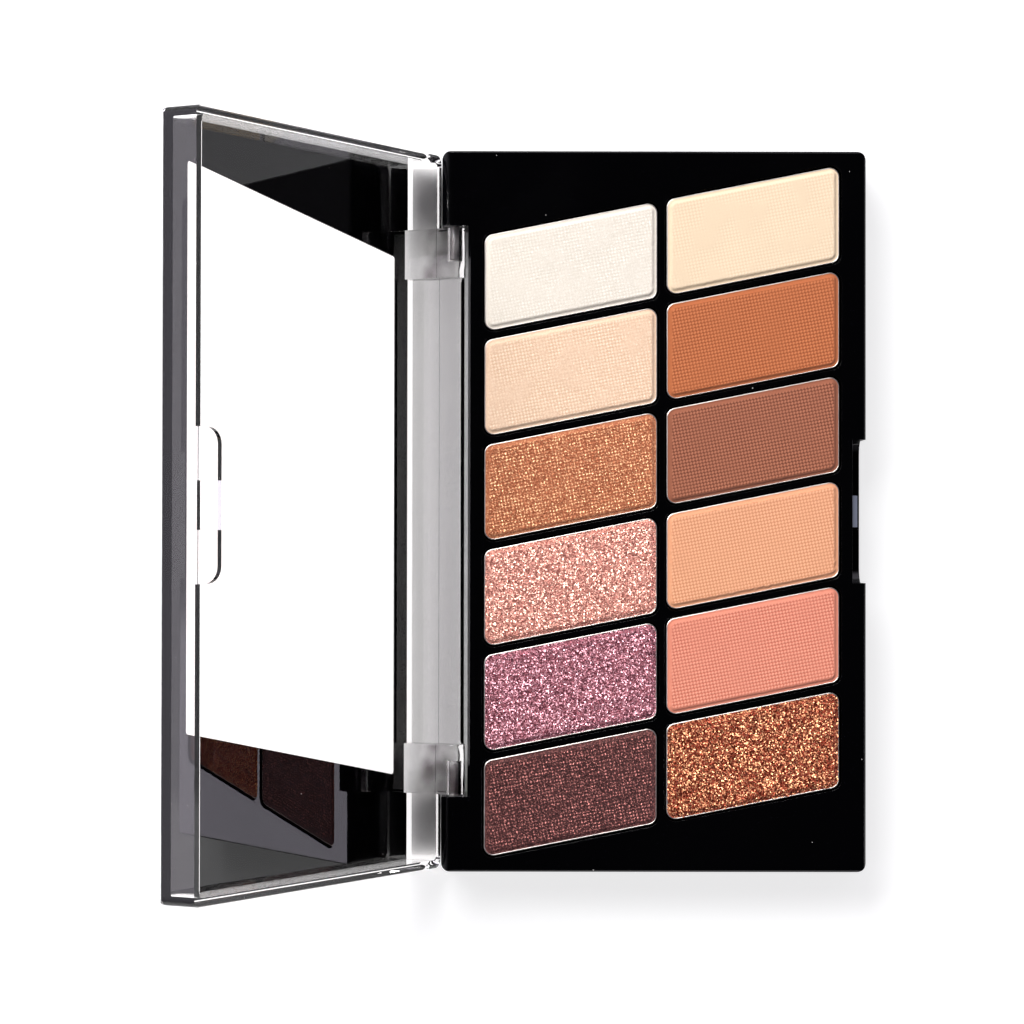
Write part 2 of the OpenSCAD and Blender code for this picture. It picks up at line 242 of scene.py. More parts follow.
# ---- shared shader effects


BROAD_SHARE = 0.2
DIAGONAL_SHARE = 0.6
KNOT_GAIN = 0.25
KNOT_LEVEL = 0.45


class Effects:
    """Shader effects that several finishes share, each built once as a node group."""

    @staticmethod
    def specks() -> Tree:
        """Scattered round specks, such as dust on a polished face."""
        w, g, out = new_group("specks", SHADER, {
            "Position": VECTOR, "Spacing": MM, "Share": 0.1, "Radius": 0.1}, {"Mask": FLOAT})
        cells = w.cells(g["Position"], g["Spacing"]).outputs
        chosen = w.math("LESS_THAN", w.channels(cells["Color"])[0], g["Share"])
        near = w.math("LESS_THAN", cells["Distance"], g["Radius"])
        w.feed(out, "Mask", w.math("MULTIPLY", chosen, near))
        return w.tree

    @staticmethod
    def smudge() -> Tree:
        """Uneven polish: a value that drifts between two limits."""
        w, g, out = new_group("smudge", SHADER, {
            "Position": VECTOR, "Size": 20 * MM, "Low": 0.05, "High": 0.12}, {"Value": FLOAT})
        cloud = w.noise(g["Position"], w.math("DIVIDE", 1.0, g["Size"]), detail=4.0, rough=0.6)
        share = w.smooth(cloud, low=0.35, high=0.7)
        w.feed(out, "Value", w.between(share, g["Low"], g["High"]))
        return w.tree

    @staticmethod
    def grain() -> Tree:
        """Fine powder grain: a tint around 1 and a height."""
        w, g, out = new_group("grain", SHADER, {
            "Position": VECTOR, "Size": 0.12 * MM, "Contrast": 0.1},
            {"Tint": FLOAT, "Height": FLOAT})
        fine = w.noise(g["Position"], w.math("DIVIDE", 1.0, g["Size"]), detail=3.0, rough=0.65)
        broad = w.noise(g["Position"], scale=180.0, detail=2.0)
        both = w.between(BROAD_SHARE, fine, broad)
        swing = w.math("MULTIPLY", w.math("SUBTRACT", both, 0.5), g["Contrast"])
        w.feed(out, "Tint", w.math("ADD", 1.0, swing))
        w.feed(out, "Height", fine)
        return w.tree

    @staticmethod
    def weave() -> Tree:
        """The pressed cloth pattern: 1 on its knots and 0 in its pits."""
        w, g, out = new_group("weave", SHADER, {
            "Position": VECTOR, "Pitch": 0.59 * MM, "Turn": 0.2}, {"Knot": FLOAT})
        w.feed(out, "Knot", woven(w, w.turned(g["Position"], g["Turn"]), g["Pitch"]))
        return w.tree

    @staticmethod
    def flakes() -> Tree:
        """Mica flakes: a mask, a random value for each flake that picks its painted shade or glint,
        and a normal tilted flake by flake.
        """
        w, g, out = new_group("flakes", SHADER, {
            "Position": VECTOR, "Normal": VECTOR, "Size": 0.2 * MM, "Share": 0.5, "Tilt": 0.6},
            {"Mask": FLOAT, "Shade": FLOAT, "Normal": VECTOR})
        own = w.cells(g["Position"], g["Size"]).outputs["Color"]
        channels = w.channels(own)
        w.feed(out, "Mask", w.math("LESS_THAN", channels[0], g["Share"]))
        w.feed(out, "Shade", channels[1])
        lean = w.scaled(w.vector("SUBTRACT", own, (0.5, 0.5, 0.5)), g["Tilt"])
        w.feed(out, "Normal", w.vector("NORMALIZE", w.vector("ADD", g["Normal"], lean)))
        return w.tree

    @classmethod
    def get(cls, name: str) -> Tree:
        """Returns the named effect's group, building it the first time."""
        found = bpy.data.node_groups.get(name)
        return found or getattr(cls, name)()


def woven(w: Wiring, place: object, pitch: object) -> Socket:
    """Wires the pressed cloth's height from 0 to 1 at a place in the weave.

    Args:
        w: The tree's wiring.
        place: The place, with X along the pans' slanted ends.
        pitch: Distance between neighbouring knots.

    Returns:
        The height, 1 on a knot.
    """
    turn_rate = w.math("DIVIDE", math.tau, pitch)
    phases = [w.math("MULTIPLY", w.part(place, axis), turn_rate) for axis in (0, 1)]
    slanted = w.math("COSINE", w.math("SUBTRACT", *phases))
    lattice = w.math("ADD", *[w.math("COSINE", phase) for phase in phases])
    both = w.math("MULTIPLY_ADD", slanted, DIAGONAL_SHARE, lattice)
    return w.math("MULTIPLY_ADD", both, KNOT_GAIN, KNOT_LEVEL)


# ---- finishes


class Finish:
    """A finish that makes its Blender material once."""

    name: str

    def shade(self, w: Wiring, place: Socket, put: Put) -> None:
        """Wires the finish into the shader."""
        raise NotImplementedError

    def material(self) -> bpy.types.Material:
        """Returns the finish's material, building it the first time."""
        title = f"{self.name}_finish"
        found = bpy.data.materials.get(title)
        if found:
            return found
        made = bpy.data.materials.new(title)
        made.use_nodes = True
        w = Wiring(made.node_tree)
        surface = made.node_tree.nodes["Principled BSDF"]
        place = w.node("ShaderNodeTexCoord").outputs["Object"]
        self.shade(w, place, partial(w.feed, surface))
        return made


def effect(w: Wiring, name: str, **sockets: object) -> Sockets:
    """Places one shared effect in a material.

    Args:
        w: The material's wiring.
        name: The effect's name.
        **sockets: The effect's inputs.

    Returns:
        The effect's outputs.
    """
    made = w.node("ShaderNodeGroup", node_tree=Effects.get(name))
    for title, value in sockets.items():
        w.feed(made, title, value)
    return made.outputs


@dataclass(frozen=True)
class GlossPlastic(Finish):
    """Polished moulded plastic with smudges and a little dust."""

    name: str
    colour: Colour
    polish: tuple[float, float] = (0.05, 0.13)
    dust: Colour = (190, 188, 184)
    dust_roughness: float = 0.9

    def shade(self, w: Wiring, place: Socket, put: Put) -> None:
        """Wires the polish, the smudges and the dust."""
        low, high = self.polish
        rough = effect(w, "smudge", Position=place, Low=low, High=high)["Value"]
        dust = effect(w, "specks", Position=place, Spacing=2.2 * MM, Share=0.15,
                      Radius=0.045)["Mask"]
        put("Base Color", w.blend(dust, linear(self.colour), linear(self.dust)))
        put("Roughness", w.between(dust, rough, self.dust_roughness))
        waves = w.noise(place, scale=60.0, detail=1.0)
        put("Normal", w.bump(waves, distance=0.004 * MM, strength=0.5))


@dataclass(frozen=True)
class SatinPlastic(Finish):
    """Moulded plastic with a fine spark-eroded texture."""

    name: str
    colour: Colour
    roughness: float = 0.42
    spread: float = 0.14
    texture_size: float = 0.25 * MM
    lift: float = 8

    def shade(self, w: Wiring, place: Socket, put: Put) -> None:
        """Wires the texture."""
        grit = w.noise(place, 1 / self.texture_size, detail=3.0)
        put("Normal", w.bump(grit, distance=0.02 * MM, strength=0.7))
        lifted = (part + self.lift for part in self.colour)
        put("Base Color", w.blend(grit, linear(self.colour), linear(lifted)))
        put("Roughness", effect(w, "smudge", Position=place, Low=self.roughness,
                                High=self.roughness + self.spread)["Value"])


@dataclass(frozen=True)
class ClearPlastic(Finish):
    """Clear polished styrene."""

    name: str = "clear_styrene"
    ior: float = 1.57
    tint: Colour = (253, 251, 250)
    # Colour of the dark blotches painted in the knuckles as refracted shade.
    cloud: Colour = (150, 140, 142)
    dust_roughness: float = 0.6
    knuckle_y: float = 46.8 * MM
    knuckle_half: tuple[float, float] = (4.7 * MM, 4.1 * MM)
    knuckle_reach: tuple[float, float] = (9 * MM, 6 * MM)
    sink_depth: float = 0.25 * MM

    def shade(self, w: Wiring, place: Socket, put: Put) -> None:
        """Sets the glass values and wires dust, the sinks of the thick knuckles, and dark blotches
        painted in them as the shade that the sinks refract.
        """
        put("Transmission Weight", 1.0)
        put("IOR", self.ior)
        dust = effect(w, "specks", Position=place, Spacing=2.6 * MM, Share=0.3,
                      Radius=0.03)["Mask"]
        put("Roughness", w.between(dust, 0.0, self.dust_roughness))
        span = w.math("SUBTRACT", w.math("ABSOLUTE", w.part(place, 1)), self.knuckle_y)
        along = w.smooth(w.math("ABSOLUTE", span), *self.knuckle_half)
        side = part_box("clear_lid")[1].x
        beside = w.smooth(w.part(place, 0), *(side - reach for reach in self.knuckle_reach))
        thick = w.math("MULTIPLY", along, beside)
        waves = w.noise(place, scale=210.0, detail=1.0)
        sinks = w.math("MULTIPLY", waves, thick)
        # Painted shade: dark blotches in the thick knuckles stand in for the shade that their sink
        # marks refract.
        blotch_shade = w.math("MULTIPLY", w.smooth(waves, low=0.35, high=0.75), thick)
        put("Base Color", w.blend(blotch_shade, linear(self.tint), linear(self.cloud)))
        put("Normal", w.bump(sinks, self.sink_depth, strength=1.0))


@dataclass(frozen=True)
class PrintInk(Finish):
    """Gloss black ink printed on clear plastic."""

    name: str
    colour: Colour
    gloss: float
    pore: Colour = (30, 30, 32)

    def shade(self, w: Wiring, place: Socket, put: Put) -> None:
        """Wires the ink's colour and its slight mottle."""
        put("Roughness", effect(w, "smudge", Position=place, Size=25 * MM, Low=0.1,
                                High=0.13)["Value"])
        put("Specular IOR Level", self.gloss)
        pores = effect(w, "specks", Position=place, Spacing=0.6 * MM, Share=0.05,
                       Radius=0.06)["Mask"]
        put("Base Color", w.blend(pores, linear(self.colour), linear(self.pore)))


@dataclass(frozen=True)
class Metal(Finish):
    """Drawn sheet or wire with fine drawing lines."""

    name: str
    colour: Colour
    roughness: float
    line_scale: Triple
    # Share of metal lost away from the drawing lines, so that the pale colour shows as a painted
    # sheen.
    painted_sheen: float = 0.0
    dark_share: float = 0.86
    spread: tuple[float, float] = (-0.08, 0.1)

    def shade(self, w: Wiring, place: Socket, put: Put) -> None:
        """Wires the drawing lines into roughness, tint and height, and away from the lines lowers
        the metallic share, so that a pale colour shows as a painted sheen.
        """
        stretched = w.node("ShaderNodeMapping", {"Vector": place, "Scale": self.line_scale})
        share = w.noise(stretched.outputs[0], scale=1.0, detail=3.0)
        bare = w.smooth(share, low=0.5, high=0.65)
        put("Metallic", w.between(bare, 1.0 - self.painted_sheen, 1.0))
        dark = (self.dark_share * part for part in self.colour)
        put("Base Color", w.blend(share, linear(dark), linear(self.colour)))
        put("Roughness", w.between(share, *(self.roughness + s for s in self.spread)))
        put("Normal", w.bump(share, distance=0.008 * MM, strength=0.5))


@dataclass(frozen=True)
class Matt(Finish):
    """A plain dull material with a little mottle, such as paper or dried glue."""

    name: str
    colour: Colour
    roughness: float = 0.7

    def shade(self, w: Wiring, place: Socket, put: Put) -> None:
        """Wires the mottle."""
        mottle = effect(w, "grain", Position=place, Size=0.3 * MM, Contrast=0.12)
        put("Base Color", w.scaled(linear(self.colour)[:3], mottle["Tint"]))
        put("Roughness", self.roughness)
        put("Normal", w.bump(mottle["Height"], distance=0.01 * MM, strength=0.5))


class Pressing(Enum):
    """How a powder is made and pressed."""

    MATTE = "matte"
    SATIN = "satin"
    SHIMMER = "shimmer"
    GLITTER = "glitter"


@dataclass(frozen=True)
class Sparkle:
    """How much mica a pressing shows; contrast sets how strongly its painted glints and shade show.
    """

    share: float
    size: float
    tilt: float
    metal: float
    contrast: float


SPARKLES = {
    Pressing.MATTE: Sparkle(0.04, 0.10 * MM, 0.3, 0.0, 0.06),
    Pressing.SATIN: Sparkle(0.4, 0.15 * MM, 0.5, 0.25, 0.6),
    Pressing.SHIMMER: Sparkle(0.7, 0.16 * MM, 0.9, 0.6, 1.0),
    Pressing.GLITTER: Sparkle(0.75, 0.2 * MM, 1.1, 0.7, 0.7),
}


@dataclass(frozen=True)
class Powder(Finish):
    """One pressed eyeshadow: its own colour, a darker colour painted as shade in its pits and on
    its dark flakes, and a light colour painted as glints on its flakes.
    """

    name: str
    pressing: Pressing
    colour: Colour
    pit_shade: Colour
    glint: Colour
    weave_depth: float = 0.12 * MM
    worn: float = 0.2
    ragged: float = 0.06 * MM
    flake_radius: float = 0.1 * MM
    plain_share: float = 0.45
    roughness: float = 0.92
    polish: float = 0.85

    @property
    def woven(self) -> bool:
        """Whether the cake keeps the pressing cloth's pattern."""
        return self.pressing is not Pressing.GLITTER

    def shade(self, w: Wiring, place: Socket, put: Put) -> None:
        """Wires the painted shade in the weave's pits, the grain, and the flakes with their painted
        glints and shade.
        """
        sparkle = SPARKLES[self.pressing]
        colour, pit_shade, glint = (linear(c) for c in (self.colour, self.pit_shade, self.glint))
        grain = effect(w, "grain", Position=place, Contrast=0.3)
        body = colour[:3]
        raised = 1.0
        if self.woven:
            knot = effect(w, "weave", Position=place, Pitch=Cakes.PITCH,
                          Turn=PanShape.from_frame().turn)["Knot"]
            pressed = w.node("ShaderNodeAttribute", attribute_name=Cakes.PRESSED).outputs["Fac"]
            # Painted shade: the weave's pits take the darker pit colour, and the smooth border
            # keeps only plain_share of its own colour, the rest being the pit colour.
            raised = w.between(pressed, self.plain_share, w.smooth(knot, low=0.05, high=0.75))
            body = w.blend(raised, pit_shade, colour)
        tinted = w.scaled(body, grain["Tint"])
        bump = w.bump(grain["Height"], distance=0.02 * MM, strength=0.6)
        flakes = effect(w, "flakes", Position=place, Normal=bump, Size=sparkle.size,
                        Share=sparkle.share, Tilt=sparkle.tilt)
        mask = w.math("MULTIPLY", flakes["Mask"], raised)
        # Painted glints and shade: each flake is painted between the darker pit colour and the
        # light glint colour, by its random value.
        flake_glint_and_shade = w.blend(w.smooth(flakes["Shade"], low=0.45, high=0.95), pit_shade, glint)
        shown = w.math("MULTIPLY", mask, sparkle.contrast)
        put("Base Color", w.blend(shown, tinted, flake_glint_and_shade))
        put("Metallic", w.math("MULTIPLY", mask, sparkle.metal))
        polished = self.roughness - sparkle.metal * self.polish
        put("Roughness", w.between(mask, self.roughness, polished))
        normal = w.node("ShaderNodeMix", data_type="VECTOR")
        for index, value in ((0, mask), (4, bump), (5, flakes["Normal"])):
            w.feed(normal, index, value)
        put("Normal", w.vector("NORMALIZE", normal.outputs[1]))


@dataclass(frozen=True)
class Flake(Finish):
    """Loose-lying glitter: each flake is painted at random as shaded, plain or glinting, among
    three colours: a painted shade, the powder's colour and a painted glint.
    """

    name: str
    # The flake colours: a darker one painted as shade, the powder's own colour, and a light one
    # painted as a glint.
    dark: Colour
    mid: Colour
    bright: Colour
    metal: float = 0.65

    def shade(self, w: Wiring, place: Socket, put: Put) -> None:
        """Wires each flake's painted shade or glint, picked by its random value."""
        own = w.node("ShaderNodeAttribute", attribute_name=Glitter.SHADE).outputs["Fac"]
        low = w.blend(w.smooth(own, low=0.15, high=0.7), linear(self.dark), linear(self.mid))
        lit = w.smooth(own, low=0.72, high=0.92)
        put("Base Color", w.blend(lit, low, linear(self.bright)))
        put("Metallic", self.metal)
        put("Roughness", effect(w, "smudge", Position=place, Size=0.3 * MM, Low=0.25,
                                High=0.45)["Value"])


CASE_BLACK = GlossPlastic("case_black", (2, 2, 3))
COVER_BLACK = SatinPlastic("cover_black", (14, 14, 16))
CLEAR = ClearPlastic()
INK = PrintInk("black_ink", (7, 7, 8), 0.5)
INK_BOND = PrintInk("black_ink_bond", (4, 4, 5), 0.0)
PAN_METAL = Metal("pan_metal", (214, 208, 202), 0.34, (400.0, 400.0, 90.0))
# The pin is painted near white and mostly not metallic: a painted sheen that stands in for its
# bright reflections.
PIN_STEEL = Metal("pin_steel", (252, 252, 254), 0.4, (3000.0, 300.0, 3000.0), 0.7)
# The catch's grained face is painted light bluish grey: a painted sheen on the black moulding.
CATCH_GRAIN_SHEEN = SatinPlastic("catch_grain_sheen", (104, 112, 130), 0.4)
GLUE = Matt("dried_glue", (222, 214, 190), 0.45)
LABEL = Matt("label_paper", (196, 197, 200), 0.5)

# Each powder: name, pressing, own colour, a darker colour painted as shade in the weave's pits and
# on dark flakes, and a light colour painted as glints on its flakes.
POWDERS = {
    "left_1": Powder("satin_white", Pressing.SATIN, (242, 235, 222), (228, 218, 202),
                     (250, 245, 239), weave_depth=0.05 * MM, worn=0.7),
    "left_2": Powder("peach_cream", Pressing.SATIN, (249, 223, 196), (226, 186, 152),
                     (252, 238, 219), weave_depth=0.06 * MM, worn=0.75),
    "left_3": Powder("copper", Pressing.SHIMMER, (228, 142, 97), (151, 78, 46),
                     (255, 205, 153)),
    "left_4": Powder("rose_gold", Pressing.GLITTER, (230, 158, 141), (190, 110, 96),
                     (252, 209, 188), flake_radius=0.085 * MM),
    "left_5": Powder("mauve", Pressing.GLITTER, (174, 99, 110), (107, 51, 63),
                     (244, 189, 200), flake_radius=0.08 * MM),
    "left_6": Powder("plum", Pressing.SHIMMER, (107, 51, 49), (45, 17, 17), (203, 127, 119)),
    "right_1": Powder("cream", Pressing.MATTE, (243, 223, 193), (234, 206, 171),
                      (249, 229, 206), weave_depth=0.05 * MM, worn=0.9),
    "right_2": Powder("terracotta", Pressing.MATTE, (208, 124, 76), (156, 78, 39),
                      (218, 145, 101)),
    "right_3": Powder("taupe", Pressing.MATTE, (184, 115, 85), (113, 58, 38),
                      (195, 134, 106)),
    "right_4": Powder("peach", Pressing.MATTE, (246, 185, 145), (212, 138, 97),
                      (243, 195, 162), weave_depth=0.08 * MM, ragged=0.12 * MM),
    "right_5": Powder("coral", Pressing.MATTE, (244, 164, 138), (203, 110, 86),
                      (241, 176, 154)),
    "right_6": Powder("bronze", Pressing.GLITTER, (166, 66, 39), (82, 23, 10),
                      (255, 188, 136), flake_radius=0.16 * MM),
}


# ---- outlines and meshes


def fillet(corners: list[Point], radius: float, steps: int) -> list[Point]:
    """Rounds the corners of a convex, counter-clockwise outline.

    Args:
        corners: The sharp outline.
        radius: The corners' radius.
        steps: Edges along each corner's arc.

    Returns:
        The rounded outline, with steps + 1 points for each corner.
    """
    points = []
    for index, here in enumerate(corners):
        corner = Vector(here)
        to_prev = (Vector(corners[index - 1]) - corner).normalized()
        to_next = (Vector(corners[(index + 1) % len(corners)]) - corner).normalized()
        half = to_prev.angle(to_next) / 2
        centre = corner + (to_prev + to_next).normalized() * (radius / math.sin(half))
        first = corner + to_prev * (radius / math.tan(half)) - centre
        for step in range(steps + 1):
            turned = Matrix.Rotation((math.pi - 2 * half) * step / steps, 2) @ first
            points.append(tuple(centre + turned))
    return points


def rectangle(low: Point, high: Point) -> list[Point]:
    """Corners of an upright rectangle, counter-clockwise from its lower right."""
    return [(high[0], low[1]), (high[0], high[1]), (low[0], high[1]), (low[0], low[1])]


@dataclass(frozen=True)
class PanShape:
    """The slanted block that pans, cakes and wells share."""

    width: float
    side: float
    slope: float
    corner: float
    least_corner: float = 0.2 * MM

    @classmethod
    def from_frame(cls, corner: float = 1.7 * MM, row_gap: float = 1.56 * MM) -> "PanShape":
        """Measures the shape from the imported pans.

        Args:
            corner: Radius of a pan's corners.
            row_gap: Gap between neighbouring pans of a column.

        Returns:
            The shape.
        """
        low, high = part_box("pan_left_1")
        first, below, beside = (pan_centre(name) for name in
                                ("pan_left_1", "pan_left_2", "pan_right_1"))
        slope = (beside.y - first.y) / (beside.x - first.x)
        return cls(high.x - low.x, first.y - below.y - row_gap, slope, corner)

    @property
    def turn(self) -> float:
        """Angle of the slanted ends."""
        return math.atan(self.slope)

    def outline(self, centre: Vector, grow: float = 0.0, steps: int = 8) -> list[Point]:
        """The rounded outline round a centre, grown or shrunk all round."""
        x = self.width / 2 + grow
        y = self.side / 2 + grow * math.hypot(1, self.slope)
        rise = x * self.slope
        corners = [(x, rise - y), (x, rise + y), (-x, y - rise), (-x, -y - rise)]
        placed = [(centre.x + px, centre.y + py) for px, py in corners]
        return fillet(placed, max(self.least_corner, self.corner + grow), steps)


def pan_centre(node: str) -> Vector:
    """Middle of a node's box."""
    low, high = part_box(node)
    return (low + high) / 2


def slots() -> Iterator[tuple[str, PanShape, Vector]]:
    """Every pan's key, shape and centre, column by column."""
    shape = PanShape.from_frame()
    for key in POWDERS:
        yield key, shape, pan_centre(f"pan_{key}")


def make_object(name: str, mesh: bpy.types.Mesh, finish: Finish | None) -> Piece:
    """Links a mesh to the scene as a piece with one finish."""
    made = bpy.data.objects.new(name, mesh)
    bpy.context.scene.collection.objects.link(made)
    if finish is not None:
        mesh.materials.clear()
        mesh.materials.append(finish.material())
    return made


def ring_mesh(name: str, rings: list[list[Vector]], closed: bool = False) -> bpy.types.Mesh:
    """Joins rings of equal length into a closed skin.

    Args:
        name: The mesh's name.
        rings: The rings, each a closed loop of points in the same order.
        closed: Whether the last ring joins the first, as in a frame. Otherwise both ends
            are capped.

    Returns:
        The mesh, with its faces pointing out.
    """
    work = bmesh.new()
    loops = [[work.verts.new(point) for point in ring] for ring in rings]
    pairs = list(zip(loops, loops[1:])) + ([(loops[-1], loops[0])] if closed else [])
    for lower, upper in pairs:
        for index in range(len(lower)):
            after = (index + 1) % len(lower)
            work.faces.new((lower[index], lower[after], upper[after], upper[index]))
    if not closed:
        work.faces.new(list(reversed(loops[0])))
        work.faces.new(loops[-1])
    bmesh.ops.recalc_face_normals(work, faces=work.faces)
    return finished(work, name)


def finished(work: bmesh.types.BMesh, name: str) -> bpy.types.Mesh:
    """Turns a working mesh into a named one."""
    mesh = bpy.data.meshes.new(name)
    work.to_mesh(mesh)
    work.free()
    return mesh


def finish_shading(mesh: bpy.types.Mesh, angle: float = 35.0) -> None:
    """Shades a mesh smooth, with sharp edges past an angle in degrees."""
    mesh.shade_smooth()
    mesh.set_sharp_from_angle(angle=math.radians(angle))


def settle(made: Piece) -> None:
    """Turns a piece's modifiers into plain mesh and removes them."""
    graph = bpy.context.evaluated_depsgraph_get()
    mesh = bpy.data.meshes.new_from_object(made.evaluated_get(graph), depsgraph=graph)
    made.modifiers.clear()
    made.data = mesh


WELD = 0.0001 * MM
FLAT = math.radians(0.3)
SHARP = math.radians(24)


def softened(node: str, name: str, width: float, finish: Finish) -> Piece:
    """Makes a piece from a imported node, with its sharp edges rounded as a mould leaves them.

    Args:
        node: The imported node.
        name: The piece's name.
        width: Width of the rounding.
        finish: The piece's finish.

    Returns:
        The piece, which stands for the node.
    """
    work = bmesh.new()
    work.from_mesh(frame["nodes"][node].data)
    bmesh.ops.remove_doubles(work, verts=work.verts, dist=WELD)
    bmesh.ops.dissolve_limit(work, angle_limit=FLAT, verts=work.verts, edges=work.edges)
    made = make_object(name, finished(work, name), finish)
    made.data.shade_smooth()
    bevel = made.modifiers.new("rounding", "BEVEL")
    bevel.width = width
    bevel.segments = 2
    bevel.limit_method = "ANGLE"
    bevel.angle_limit = SHARP
    flatten = made.modifiers.new("flat faces", "WEIGHTED_NORMAL")
    flatten.weight = 100
    settle(made)
    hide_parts(node)
    return made


# ---- pans and powders


@dataclass
class Pans:
    """Twelve drawn metal pans with rolled rims, held by dots of glue."""

    sheet: float = 0.3 * MM
    foot_radius: float = 0.4 * MM
    arc_steps: int = 4
    corner_steps: int = 10

    def profile(self, low: float, high: float) -> list[Point]:
        """How far in from the outline, and how high, the sheet runs from outside to inside."""
        steps = [math.pi / 2 * k / self.arc_steps for k in range(self.arc_steps + 1)]
        foot, sheet = self.foot_radius, self.sheet
        lip = sheet / 2
        outside = [(-foot + foot * math.sin(a), low + foot - foot * math.cos(a)) for a in steps]
        rim = [(-lip + lip * math.cos(2 * a), high - lip + lip * math.sin(2 * a)) for a in steps]
        inside = [(-sheet - foot + foot * math.cos(a), low + sheet + foot - foot * math.sin(a))
                  for a in steps]
        return outside + rim + inside

    def build(self) -> list[Piece]:
        """Builds a pan in each well.

        Returns:
            The pans.
        """
        made = []
        for key, shape, centre in slots():
            node = f"pan_{key}"
            low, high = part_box(node)
            rings = [[Vector((x, y, height))
                      for x, y in shape.outline(centre, inward, self.corner_steps)]
                     for inward, height in self.profile(low.z, high.z)]
            mesh = ring_mesh(node, rings)
            finish_shading(mesh)
            pan = make_object(f"tin_{key}", mesh, PAN_METAL)
            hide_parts(node)
            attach(pan, "base")
            made.append(pan)
        return made


